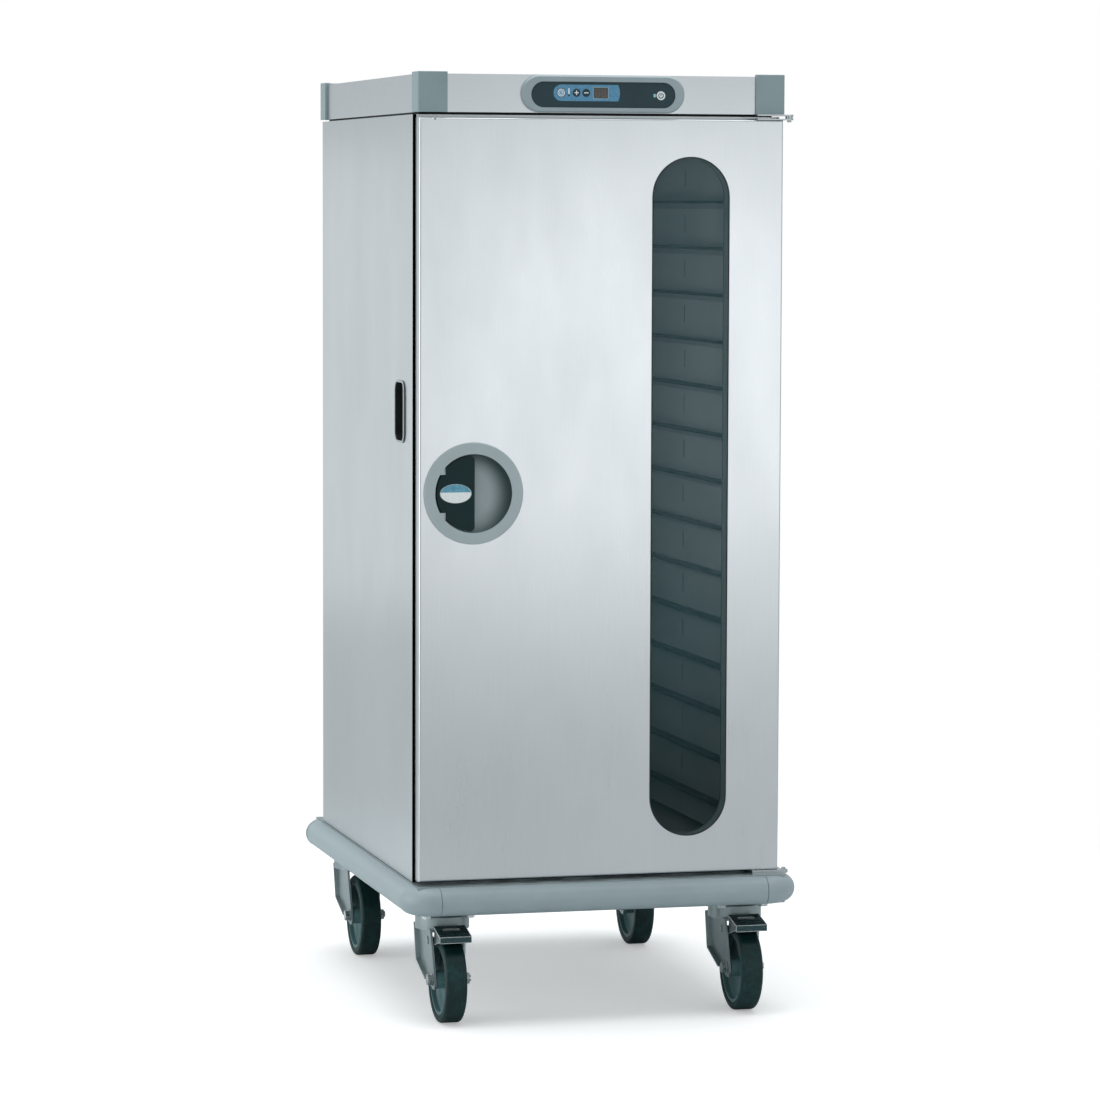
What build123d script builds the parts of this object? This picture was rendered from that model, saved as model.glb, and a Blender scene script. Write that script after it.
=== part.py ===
"""Insulated, fan-heated food carrier: a tall stainless cabinet for catering pans on four swivel casters.

Frame: +Z up, the door faces -Y, origin on the floor under the middle of the bumper. Millimetres.
"""

import math
import os

from build123d import *

# ---------------------------------------------------------------- driving dimensions
SHEET = 1.2                      # stainless sheet
FIT = 0.3                        # play between pieces that don't touch
RUN = 0.08                       # radial play of a turning fit

# Chassis and bumper
BUMPER_X, BUMPER_Y = 378.0, 497.0        # half width and half depth, over the bumper
BUMPER_DEPTH = 28.0
BUMPER_R = 26.0                          # half-round section
BUMPER_CORNER = 67.0
BUMPER_WALL = 4.0
SEAM = 1.0                               # joint line between rail and corner
RAIL_STEP = 0.8                          # the rails stand back from the corners
TRAY_X, TRAY_Y = BUMPER_X - BUMPER_DEPTH, BUMPER_Y - BUMPER_DEPTH
TRAY_Z0, TRAY_Z1 = 207.0, 260.0
BUMPER_Z = 232.0

# Cabinet body
BODY_X = 347.0
BODY_FRONT, BODY_BACK = -408.0, 412.0
BODY_Z0, BODY_Z1 = 261.0, 1663.0
CAVITY_X = 303.0
CAVITY_BACK = 355.0
CAVITY_Z0, CAVITY_Z1 = 303.0, 1619.0
RETURN = 18.0                            # folded edge of the side panels

# Pan runners
LEDGES = 14
LEDGE_Z0, LEDGE_PITCH = 378.0, 87.0
RUNNER_X = 274.0
LEDGE_REACH, LEDGE_LEG = 22.0, 16.0
RUNNER_Y0, RUNNER_Y1 = -380.0, 290.0

# Heating unit
DUCT_Y = 300.0
FAN_Z, FAN_R = 960.0, 72.0
MOTOR_R = 42.0

# Door
DOOR_X = 343.0
DOOR_FRONT, DOOR_BACK = -447.0, -414.0
DOOR_Z0, DOOR_Z1 = 266.5, 1657.0
WINDOW_X, WINDOW_Z = 167.0, 962.0
WINDOW_W, WINDOW_H = 148.0, 1254.0
HINGE_X, HINGE_Y = 354.0, -447.0
HINGE_PIN_R = 4.0

# Door handle
CUP_X, CUP_Z = -242.0, 976.5
CUP_RING_R, CUP_R = 93.0, 72.0
CUP_HOLE_R = 84.0                        # hole in the door skin, hidden by the ring
CUP_FRONT, CUP_BOTTOM = -450.0, -421.0
PIVOT_X, PIVOT_Y = -306.0, -438.0
PIN_R = 2.5
TONGUE = 34.0                            # half height of the paddle's tongue

# Top housing
CAP_X = 346.0
CAP_FRONT, CAP_BACK = -446.0, 441.0
CAP_Z0, CAP_Z1 = 1667.0, 1740.0
CAP_LEG_X, CAP_LEG_Y, CAP_WALL = 55.0, 50.0, 10.0
INSET = 5.0                              # fascias stand back from the corner caps
FASCIA_Z1 = 1736.0
ROOF_Z = 1718.0

# Control unit
BEZEL_W, BEZEL_H, BEZEL_Z = 308.0, 68.0, 1701.5
PANEL_W, PANEL_H, PANEL_Z = 272.0, 47.0, 1700.0
BUTTONS = {                              # name: (x, z, radius)
    "timer_button": (-79.7, 1703.5, 7.4),
    "plus_button": (-50.7, 1703.5, 6.8),
    "minus_button": (-32.5, 1703.5, 6.8),
    "power_button": (108.6, 1699.6, 8.6),
}
DISPLAY_X, DISPLAY_Z, DISPLAY_W, DISPLAY_H = -5.0, 1703.5, 27.0, 19.0
BUTTON_TRAVEL = 0.8

# Side grips
GRIP_Y, GRIP_Z = -307.0, 1120.5
GRIP_W, GRIP_H, GRIP_DEPTH, GRIP_R = 72.0, 107.0, 30.0, 17.0

# Casters
SWIVEL_X, SWIVEL_Y = 282.0, 371.0
TRAIL = 45.0
WHEEL_R, WHEEL_W, CORE_R = 80.0, 40.0, 66.0
LEG_IN, LEG_T = 24.5, 4.0
AXLE_R = 6.0
PLATE_Z0, PLATE_Z1 = 201.0, 205.0
CROWN_Z0, CROWN_Z1 = 168.0, 173.0
RACE_Z = 196.0
HEAD_R = 50.0
LEG_LEAN = 3.5                           # degrees that the legs spread towards the crown
BOLT_DX, BOLT_DY = 40.0, 52.5
PEDAL_PIVOT = (-25.0, 150.0)             # y and z from the swivel axis and the floor
CASTERS = {
    "front_left": (-SWIVEL_X, -SWIVEL_Y),
    "front_right": (SWIVEL_X, -SWIVEL_Y),
    "rear_left": (-SWIVEL_X, SWIVEL_Y),
    "rear_right": (SWIVEL_X, SWIVEL_Y),
}
BRAKED = ("front_left", "front_right")


# ---------------------------------------------------------------- helpers
def block(x0, x1, y0, y1, z0, z1):
    """A box between two corners."""
    return Pos((x0 + x1) / 2, (y0 + y1) / 2, (z0 + z1) / 2) * Box(x1 - x0, y1 - y0, z1 - z0)


def along_x(sketch, x0, x1):
    """Extrudes a sketch drawn in Y and Z."""
    return extrude(Plane((x0, 0, 0), x_dir=(0, 1, 0), z_dir=(1, 0, 0)) * sketch, x1 - x0)


def along_y(sketch, y0, y1):
    """Extrudes a sketch drawn in X and Z."""
    return extrude(Plane((0, y1, 0), x_dir=(1, 0, 0), z_dir=(0, -1, 0)) * sketch, y1 - y0)


def along_z(sketch, z0, z1):
    """Extrudes a sketch drawn in X and Y."""
    return extrude(Plane.XY.offset(z0) * sketch, z1 - z0)


def rod_x(y, z, r, x0, x1):
    return along_x(Pos(y, z) * Circle(r), x0, x1)


def rod_y(x, z, r, y0, y1):
    return along_y(Pos(x, z) * Circle(r), y0, y1)


def rod_z(x, y, r, z0, z1):
    return along_z(Pos(x, y) * Circle(r), z0, z1)


def upright_slot(x, z, width, height):
    """A slot with round ends, taller than it is wide."""
    return Pos(x, z) * SlotOverall(height, width, rotation=90)


def around(outer, hole):
    """The four rectangles, as (u0, u1, v0, v1), that fill outer round a rectangular hole."""
    u0, u1, v0, v1 = outer
    a0, a1, b0, b1 = hole
    return [(u0, u1, v0, b0), (u0, u1, b1, v1), (u0, a0, b0, b1), (a1, u1, b0, b1)]


def mirrored(shape):
    """The same piece on the other side of the cabinet."""
    return mirror(shape, about=Plane.YZ)


def save(node, *shapes):
    """Writes one node from its separate solids."""
    solids = [solid for shape in shapes for solid in shape.solids()]
    export_step(Compound(children=solids) if len(solids) > 1 else solids[0], f"parts/{node}.step")


# ---------------------------------------------------------------- chassis
def base_frame():
    tray = block(-TRAY_X, TRAY_X, -TRAY_Y, TRAY_Y, TRAY_Z0, TRAY_Z1)
    inner_x, inner_y = TRAY_X - SHEET, TRAY_Y - SHEET
    tray -= block(-inner_x, inner_x, -inner_y, inner_y, TRAY_Z0 - 1, TRAY_Z1 - SHEET)
    channels = []
    half, wall = 75.0, 2.0
    length = inner_x - FIT
    for side in (-1, 1):
        y = side * SWIVEL_Y
        top = TRAY_Z1 - SHEET
        channel = block(-length, length, y - half, y + half, PLATE_Z1, top)
        channel -= block(-length, length, y - half + wall, y + half - wall, PLATE_Z1 + wall, top)
        for dx in (-SWIVEL_X, SWIVEL_X):
            for bx in (-BOLT_DX, BOLT_DX):
                for by in (-BOLT_DY, BOLT_DY):
                    channel -= rod_z(dx + bx, y + by, 5.5, PLATE_Z1, PLATE_Z1 + wall)
        channels.append(channel)
    save("base_frame", tray, *channels)


def bumper_section(reach):
    """The half-round section, drawn as distance out from the tray's edge and height above the floor."""
    centre = reach - BUMPER_R
    flat = Pos(centre / 2, BUMPER_Z) * Rectangle(centre, 2 * BUMPER_R)
    nose = Pos(centre, BUMPER_Z) * Circle(BUMPER_R)
    return flat + nose


def bumper_rails():
    reach = BUMPER_DEPTH - RAIL_STEP
    outer = bumper_section(reach) & Pos(reach / 2, BUMPER_Z) * Rectangle(reach, 3 * BUMPER_R)
    solid_part = outer - offset(outer, -BUMPER_WALL)
    long_half = BUMPER_Y - BUMPER_CORNER - SEAM
    short_half = BUMPER_X - BUMPER_CORNER - SEAM
    side_plane = Plane((TRAY_X, long_half, 0), x_dir=(1, 0, 0), z_dir=(0, -1, 0))
    side = extrude(side_plane * solid_part, 2 * long_half)
    front_plane = Plane((-short_half, -TRAY_Y, 0), x_dir=(0, -1, 0), z_dir=(-1, 0, 0))
    front = extrude(front_plane * solid_part, -2 * short_half)
    save("bumper_rails", side, mirrored(side), front, mirror(front, about=Plane.XZ))


def bumper_corners():
    section = bumper_section(BUMPER_CORNER)
    section &= Pos(BUMPER_CORNER / 2, BUMPER_Z) * Rectangle(BUMPER_CORNER, 3 * BUMPER_R)
    upright = Plane((0, 0, 0), x_dir=(1, 0, 0), z_dir=(0, -1, 0)) * section
    moulding = Pos(BUMPER_X - BUMPER_CORNER, BUMPER_Y - BUMPER_CORNER, 0) * revolve(upright, Axis.Z, 90)
    moulding -= block(0, TRAY_X, 0, TRAY_Y, 0, TRAY_Z1)
    right = [moulding, mirror(moulding, about=Plane.XZ)]
    save("bumper_corners", *right, *[mirrored(piece) for piece in right])


# ---------------------------------------------------------------- cabinet body
def grip_opening(grow=0.0):
    return Pos(GRIP_Y, GRIP_Z) * RectangleRounded(GRIP_W + grow, GRIP_H + grow, GRIP_R + grow / 2)


def side_panels():
    edge = BODY_X - SHEET
    panel = block(edge, BODY_X, BODY_FRONT, BODY_BACK, BODY_Z0, BODY_Z1)
    panel += block(BODY_X - RETURN, BODY_X, BODY_FRONT, BODY_FRONT + SHEET, BODY_Z0, BODY_Z1)
    panel += block(BODY_X - RETURN, BODY_X, BODY_BACK - SHEET, BODY_BACK, BODY_Z0, BODY_Z1)
    panel -= along_x(grip_opening(5.0), edge - 1, BODY_X + 1)
    save("side_panel_right", panel)
    save("side_panel_left", mirrored(panel))


def rear_panel():
    half = BODY_X - RETURN - FIT
    panel = block(-half, half, BODY_BACK - SHEET, BODY_BACK, BODY_Z0, BODY_Z1)
    panel -= rod_y(0, FAN_Z, MOTOR_R + 3, BODY_BACK - 3, BODY_BACK + 1)
    save("rear_panel", panel)


def latch_pocket():
    """The space that the latch hook needs in the cabinet's front edge."""
    return block(-322, -CAVITY_X + 1, BODY_FRONT - 1, -385, CUP_Z - 14, CUP_Z + 14)


def inner_liner():
    """Five plates round the cavity, open towards the door."""
    x, z0, z1 = CAVITY_X + SHEET, CAVITY_Z0 - SHEET, CAVITY_Z1 + SHEET
    front = BODY_FRONT + SHEET
    side = block(CAVITY_X, x, front, CAVITY_BACK, CAVITY_Z0, CAVITY_Z1)
    floor = block(-x, x, front, CAVITY_BACK, z0, CAVITY_Z0)
    ceiling = block(-x, x, front, CAVITY_BACK, CAVITY_Z1, z1)
    back = block(-x, x, CAVITY_BACK, CAVITY_BACK + SHEET, z0, z1)
    back -= rod_y(0, FAN_Z, 8, CAVITY_BACK - 1, CAVITY_BACK + SHEET + 1)
    save("inner_liner", side, mirrored(side) - latch_pocket(), floor, ceiling, back)


def insulation():
    """Mineral wool batts, cut to fit round the grips, the latch pocket and the fan motor."""
    inner, outer = CAVITY_X + SHEET, BODY_X - SHEET
    front, back = BODY_FRONT + SHEET, BODY_BACK - SHEET
    z0, z1 = BODY_Z0 + SHEET, BODY_Z1 - SHEET
    cup = GRIP_DEPTH + 4
    y0, y1 = GRIP_Y - GRIP_W / 2 - 5, GRIP_Y + GRIP_W / 2 + 5
    g0, g1 = GRIP_Z - GRIP_H / 2 - 5, GRIP_Z + GRIP_H / 2 + 5
    right = [block(inner, outer, *sides) for sides in around((front, back, z0, z1), (y0, y1, g0, g1))]
    right.append(block(inner, outer - cup, y0, y1, g0, g1))
    below, above, ahead, behind, backing = [mirrored(batt) for batt in right]
    below -= latch_pocket()
    left = [below, above, ahead, behind, backing]
    wall = CAVITY_BACK + SHEET
    motor = MOTOR_R + 4
    rear = [
        block(x0, x1, wall, back, low, high)
        for x0, x1, low, high in around((-inner, inner, z0, z1), (-motor, motor, FAN_Z - motor, FAN_Z + motor))
    ]
    floor = block(-inner, inner, front, wall, z0, CAVITY_Z0 - SHEET)
    ceiling = block(-inner, inner, front, wall, CAVITY_Z1 + SHEET, z1)
    save("insulation", *right, *left, *rear, floor, ceiling)


def front_frame():
    """Four strips that close the cabinet's wall round the mouth of the cavity."""
    edge = BODY_X - RETURN - FIT
    y0, y1 = BODY_FRONT, BODY_FRONT + SHEET
    stile = block(CAVITY_X, edge, y0, y1, BODY_Z0, BODY_Z1)
    rail = block(-CAVITY_X + FIT, CAVITY_X - FIT, y0, y1, BODY_Z0, CAVITY_Z0)
    head = block(-CAVITY_X + FIT, CAVITY_X - FIT, y0, y1, CAVITY_Z1, BODY_Z1)
    left = mirrored(stile) - block(-325, -CAVITY_X + 1, y0 - 1, y1 + 1, CUP_Z - 28, CUP_Z + 28)
    save("front_frame", stile, left, rail, head)


def strike_plate():
    """The edge that the latch hook catches behind, let into the left stile."""
    half = 28 - FIT
    plate = block(-325 + FIT, -CAVITY_X, BODY_FRONT, BODY_FRONT + SHEET, CUP_Z - half, CUP_Z + half)
    plate -= block(-311, -CAVITY_X + 1, BODY_FRONT - 1, BODY_FRONT + 3, CUP_Z - 12, CUP_Z + 12)
    for z in (CUP_Z - 21, CUP_Z + 21):
        plate -= rod_y(-314, z, 2.2, BODY_FRONT - 1, BODY_FRONT + 3)
    save("strike_plate", plate)


def runner_panels():
    """A perforated panel on each side with folded ledges for pans."""
    inner = RUNNER_X - SHEET
    z0, z1 = CAVITY_Z0 + 15, CAVITY_Z1 - 25
    panel = block(inner, RUNNER_X, RUNNER_Y0, RUNNER_Y1, z0, z1)
    vents = []
    for level in range(LEDGES):
        z = LEDGE_Z0 + level * LEDGE_PITCH + LEDGE_PITCH / 2
        for y in (RUNNER_Y0 + 45, (RUNNER_Y0 + RUNNER_Y1) / 2, RUNNER_Y1 - 45):
            vents.append(along_x(upright_slot(y, z, 8, 34), inner - 1, RUNNER_X + 1))
    panel -= vents
    spacers = [
        rod_x(y, z, 8, RUNNER_X, CAVITY_X)
        for y in (RUNNER_Y0 + 20, RUNNER_Y1 - 20)
        for z in (z0 + 15, z1 - 15)
    ]
    ledges = []
    for level in range(LEDGES):
        top = LEDGE_Z0 + level * LEDGE_PITCH
        ledge = block(inner - LEDGE_REACH, inner, RUNNER_Y0 + 5, RUNNER_Y1, top - SHEET, top)
        ledge += block(inner - SHEET, inner, RUNNER_Y0 + 5, RUNNER_Y1, top - LEDGE_LEG, top)
        lip = inner - LEDGE_REACH
        ledge += block(lip, lip + SHEET, RUNNER_Y0 + 5, RUNNER_Y1, top - 5, top)
        ledges.append(ledge)
    right = [panel, *spacers, *ledges]
    save("runner_panels", *right, *[mirrored(piece) for piece in right])


def duct_panel():
    """The baffle in front of the fan: intake slots in the middle, outlet slots up both sides."""
    half = RUNNER_X - 4
    panel = block(-half, half, DUCT_Y, DUCT_Y + SHEET, CAVITY_Z0 + 5, CAVITY_Z1 - 5)
    cuts = []
    for row in range(-4, 5):
        width = 2 * math.sqrt((FAN_R - 6) ** 2 - (row * 14) ** 2)
        cuts.append(along_y(Pos(0, FAN_Z + row * 14) * SlotOverall(width, 6), DUCT_Y - 1, DUCT_Y + 3))
    for level in range(LEDGES):
        z = LEDGE_Z0 + (level - 0.5) * LEDGE_PITCH
        for x in (-230, 230):
            cuts.append(along_y(Pos(x, z) * SlotOverall(50, 8), DUCT_Y - 1, DUCT_Y + 3))
    panel -= cuts
    posts = [
        rod_y(x, z, 6, DUCT_Y + SHEET, CAVITY_BACK)
        for x in (-250, 250)
        for z in (CAVITY_Z0 + 40, CAVITY_Z1 - 40)
    ]
    save("duct_panel", panel, *posts)


def heating_unit():
    shaft_y0 = DUCT_Y + 12
    motor = rod_y(0, FAN_Z, MOTOR_R, CAVITY_BACK + SHEET + FIT, 428)
    nose = rod_y(0, FAN_Z, 7.5, CAVITY_BACK - 12, CAVITY_BACK + SHEET + FIT)
    motor = motor + nose - rod_y(0, FAN_Z, 4 + RUN, CAVITY_BACK - 13, 400)
    save("fan_motor", motor)

    hub = rod_y(0, FAN_Z, 14, shaft_y0, CAVITY_BACK - 16)
    back_disc = rod_y(0, FAN_Z, FAN_R, CAVITY_BACK - 18, CAVITY_BACK - 16)
    impeller = hub + back_disc + rod_y(0, FAN_Z, 4, CAVITY_BACK - 17, 398)
    blades = 10
    for index in range(blades):
        blade = block(30, FAN_R - 2, shaft_y0 + 4, CAVITY_BACK - 17, -1, 1)
        impeller += Pos(0, 0, FAN_Z) * Rot(0, index * 360 / blades, 0) * blade
    save("fan_impeller", impeller)

    ring_y = 326
    loop = Pos(0, ring_y, FAN_Z) * Rot(90, 0, 0) * Torus(FAN_R + 20, 4.2)
    for x in (-12, 12):
        loop += rod_y(x, FAN_Z - FAN_R - 19, 4.2, ring_y, CAVITY_BACK)
    save("heating_element", loop)


def rear_cover():
    """The shallow sheet box over the motor and the terminals."""
    half, z0, z1, back = 250, 640, 1240, 436
    cover = block(-half, half, BODY_BACK, back, z0, z1)
    cover -= block(-half + SHEET, half - SHEET, BODY_BACK - 1, back - SHEET, z0 + SHEET, z1 - SHEET)
    louvres = []
    for row in range(9):
        for x in (-110, 110):
            louvres.append(along_y(Pos(x, 1030 + row * 20) * SlotOverall(150, 6), back - 3, back + 1))
    cover -= louvres
    cover -= along_y(Pos(0, 700) * Rectangle(31, 26), back - 3, back + 1)
    save("rear_cover", cover)

    inlet = along_y(Pos(0, 700) * RectangleRounded(56, 34, 5), back, back + 3)
    inlet += along_y(Pos(0, 700) * Rectangle(30, 25), BODY_BACK + 2, back)
    inlet -= along_y(Pos(0, 700) * RectangleRounded(25, 17.5, 3), BODY_BACK + 6, back + 4)
    for x in (-7, 0, 7):
        inlet += block(x - 1, x + 1, BODY_BACK + 5, back - 3, 698, 702)
    save("power_inlet", inlet)


def side_grips():
    """Recessed cups in the side panels, with a lip at the front for the fingers to pull on."""
    back = BODY_X - GRIP_DEPTH - 2
    rim = along_x(grip_opening(7.5), BODY_X, BODY_X + 3)
    rim = fillet(rim.edges().group_by(Axis.X)[-1], 1.5)
    cup = rim + along_x(grip_opening(4.0), back, BODY_X)
    cup -= along_x(grip_opening(), back + 2, BODY_X + 4)
    lip_x = BODY_X - 3
    lip = block(lip_x, BODY_X + 1, GRIP_Y - GRIP_W / 2 - 1, GRIP_Y - GRIP_W / 2 + 16, 0, 2000)
    lip &= along_x(grip_opening(1.0), lip_x, BODY_X + 1)
    cup += lip
    save("side_grips", cup, mirrored(cup))


# ---------------------------------------------------------------- top housing
def top_deck():
    plinth = block(-335, 335, BODY_FRONT + 8, BODY_BACK - 8, BODY_Z1, CAP_Z0)
    floor_x = CAP_X - CAP_WALL - FIT
    front, back = CAP_FRONT + CAP_WALL + FIT, CAP_BACK - CAP_WALL - FIT
    floor = block(-floor_x, floor_x, front, back, CAP_Z0, CAP_Z0 + SHEET)
    save("top_deck", plinth, floor)


def corner_caps():
    cap = block(CAP_X - CAP_LEG_X, CAP_X, CAP_FRONT, CAP_FRONT + CAP_WALL, CAP_Z0, CAP_Z1)
    cap += block(CAP_X - CAP_WALL, CAP_X, CAP_FRONT, CAP_FRONT + CAP_LEG_Y, CAP_Z0, CAP_Z1)
    upright = cap.edges().filter_by(Axis.Z).sort_by(lambda edge: edge.center().X - edge.center().Y)[-1]
    cap = fillet(upright, 4)
    cap = fillet(cap.edges().group_by(Axis.Z)[-1], 1.5)
    middle = (CAP_FRONT + CAP_BACK) / 2
    rear = mirror(cap, about=Plane.XZ.offset(-middle))
    save("corner_caps", cap, mirrored(cap), rear, mirrored(rear))


def fascia(length):
    """A rim strip along X with a folded top edge, its face at y = 0 and its middle at x = 0."""
    half = length / 2 - FIT
    strip = block(-half, half, 0, SHEET, CAP_Z0, FASCIA_Z1)
    strip += block(-half, half, 0, 8, FASCIA_Z1 - SHEET, FASCIA_Z1)
    return strip


def fascias():
    width = 2 * (CAP_X - CAP_LEG_X)
    front = Pos(0, CAP_FRONT + INSET, 0) * fascia(width)
    opening = along_y(Pos(0, PANEL_Z) * SlotOverall(PANEL_W - 10, PANEL_H - 6), CAP_FRONT, CAP_FRONT + 20)
    length = CAP_BACK - CAP_FRONT - 2 * CAP_LEG_Y
    middle = (CAP_FRONT + CAP_BACK) / 2
    right = Pos(CAP_X - INSET, middle, 0) * Rot(0, 0, 90) * fascia(length)
    rear = Pos(0, CAP_BACK - INSET, 0) * Rot(0, 0, 180) * fascia(width)
    save("rim_fascias", front - opening, right, mirrored(right), rear)


def roof_panel():
    x = CAP_X - CAP_WALL - FIT
    y0, y1 = CAP_FRONT + CAP_WALL + FIT, CAP_BACK - CAP_WALL - FIT
    save("roof_panel", block(-x, x, y0, y1, ROOF_Z - SHEET, ROOF_Z))


def control_unit():
    face = CAP_FRONT + INSET
    front = face - 7
    bezel = along_y(Pos(0, BEZEL_Z) * SlotOverall(BEZEL_W, BEZEL_H), front, face)
    bezel = chamfer(bezel.edges().group_by(Axis.Y)[0], 4, 3)
    bezel -= along_y(Pos(0, PANEL_Z) * SlotOverall(PANEL_W, PANEL_H), front - 1, face + 1)
    save("control_bezel", bezel)

    panel_front = front + 2
    panel = along_y(Pos(0, PANEL_Z) * SlotOverall(PANEL_W - 0.4, PANEL_H - 0.4), panel_front, face)
    for x, z, r in BUTTONS.values():
        panel -= rod_y(x, z, r + 0.25, panel_front - 1, face + 1)
    window = Pos(DISPLAY_X, DISPLAY_Z) * Rectangle(DISPLAY_W + 0.4, DISPLAY_H + 0.4)
    panel -= along_y(window, panel_front - 1, face + 1)
    save("control_panel", panel)

    board_front = face + 10
    board = along_y(Pos(5, 1696) * Rectangle(250, 36), board_front, board_front + 1.6)
    display = along_y(Pos(DISPLAY_X, DISPLAY_Z) * Rectangle(DISPLAY_W, DISPLAY_H), panel_front + 0.4, face)
    display += along_y(Pos(DISPLAY_X, DISPLAY_Z - 3) * Rectangle(DISPLAY_W - 4, DISPLAY_H - 8), face, board_front)
    switches = [
        rod_y(x, z, 3, face + BUTTON_TRAVEL + 3.2, board_front)
        for x, z, r in BUTTONS.values()
    ]
    save("control_board", board, display, *switches)

    for name, (x, z, r) in BUTTONS.items():
        cap = rod_y(x, z, r, panel_front - 0.9, face)
        cap = fillet(cap.edges().group_by(Axis.Y)[0], 0.5)
        save(name, cap + rod_y(x, z, 3, face, face + 3))


# ---------------------------------------------------------------- door
def door_skins():
    pan = block(-DOOR_X, DOOR_X, DOOR_FRONT, DOOR_BACK, DOOR_Z0, DOOR_Z1)
    pan = fillet(pan.edges().group_by(Axis.Y)[0], 3)
    inner = DOOR_X - SHEET
    z0, z1 = DOOR_Z0 + SHEET, DOOR_Z1 - SHEET
    hollow = block(-inner, inner, DOOR_FRONT + SHEET, DOOR_BACK + 1, z0, z1)
    hollow = fillet(hollow.edges().group_by(Axis.Y)[0], 2)
    pan -= hollow
    pan -= along_y(upright_slot(WINDOW_X, WINDOW_Z, WINDOW_W, WINDOW_H), DOOR_FRONT - 1, DOOR_FRONT + 3)
    pan -= rod_y(CUP_X, CUP_Z, CUP_HOLE_R, DOOR_FRONT - 1, DOOR_FRONT + 3)
    notch = block(-316, -313, DOOR_FRONT - 1, DOOR_FRONT + 2, DOOR_Z1 - 4, DOOR_Z1 + 1)
    save("door_outer_skin", pan - notch)

    lining = block(-inner + FIT, inner - FIT, DOOR_BACK - SHEET, DOOR_BACK, z0 + FIT, z1 - FIT)
    lining -= along_y(upright_slot(WINDOW_X, WINDOW_Z, WINDOW_W, WINDOW_H), DOOR_BACK - 3, DOOR_BACK + 1)
    lining -= block(-314, -281, DOOR_BACK - 3, DOOR_BACK + 1, 962, 982)
    save("door_inner_skin", lining)


def door_insulation():
    """Batts cut to leave room for the handle cup and the window."""
    x_in = DOOR_X - 2 * SHEET
    z0, z1 = DOOR_Z0 + 2 * SHEET, DOOR_Z1 - 2 * SHEET
    cup = CUP_RING_R + 2
    half_window, half_height = WINDOW_W / 2 + 3, WINDOW_H / 2 + 3
    window_left, window_right = WINDOW_X - half_window, WINDOW_X + half_window
    cup_right = CUP_X + cup
    handle_column = around((-x_in, cup_right, z0, z1), (CUP_X - cup, cup_right - 0.5, CUP_Z - cup, CUP_Z + cup))
    areas = handle_column[:3] + [
        (cup_right, window_left, z0, z1),
        (window_left, window_right, z0, WINDOW_Z - half_height),
        (window_left, window_right, WINDOW_Z + half_height, z1),
        (window_right, x_in, z0, z1),
    ]
    front, back = DOOR_FRONT + SHEET + 1, DOOR_BACK - SHEET
    save("door_insulation", *[block(x0, x1, front, back, low, high) for x0, x1, low, high in areas])


def window():
    def slot(inset):
        return upright_slot(WINDOW_X, WINDOW_Z, WINDOW_W - 2 * inset, WINDOW_H - 2 * inset)

    outer = along_y(slot(2.2), DOOR_FRONT + 1, DOOR_FRONT + 5)
    inner = along_y(slot(2.2), DOOR_BACK - 5, DOOR_BACK - 1)
    save("window_panes", outer, inner)
    seal = along_y(slot(0.2), DOOR_FRONT - 0.4, DOOR_BACK + 0.4)
    seal -= along_y(slot(2.1), DOOR_FRONT - 1, DOOR_BACK + 1)
    save("window_gasket", seal)


def door_gasket():
    """The magnetic seal round the back of the door: four strips, butted at the corners."""
    inset, width = 2.5, 14.0
    outer_x = DOOR_X - inset
    back = BODY_FRONT - FIT
    z0, z1 = DOOR_Z0 + inset, DOOR_Z1 - inset
    strips = []
    for x0, x1, low, high in (
        (-outer_x, -outer_x + width, z0, z1),
        (outer_x - width, outer_x, z0, z1),
        (-outer_x + width + FIT, outer_x - width - FIT, z0, z0 + width),
        (-outer_x + width + FIT, outer_x - width - FIT, z1 - width, z1),
    ):
        strip = block(x0, x1, DOOR_BACK, back, low, high)
        strips.append(fillet(strip.edges().group_by(Axis.Y)[-1], 2))
    save("door_gasket", *strips)


def dish(rim_r, depth, top):
    """A shallow dish of revolution about Y, rim_r wide at y = 0, with a flat-bottomed middle."""
    section = [
        Line((0, top), (rim_r, top)).edge(),
        Line((rim_r, top), (rim_r, 0)).edge(),
        ThreePointArc((rim_r, 0), (rim_r - 12, 0.72 * depth), (rim_r - 42, depth)).edge(),
        Line((rim_r - 42, depth), (0, depth)).edge(),
        Line((0, depth), (0, top)).edge(),
    ]
    return Pos(CUP_X, DOOR_FRONT, CUP_Z) * revolve(make_face(section), Axis.Y, 360)


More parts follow.
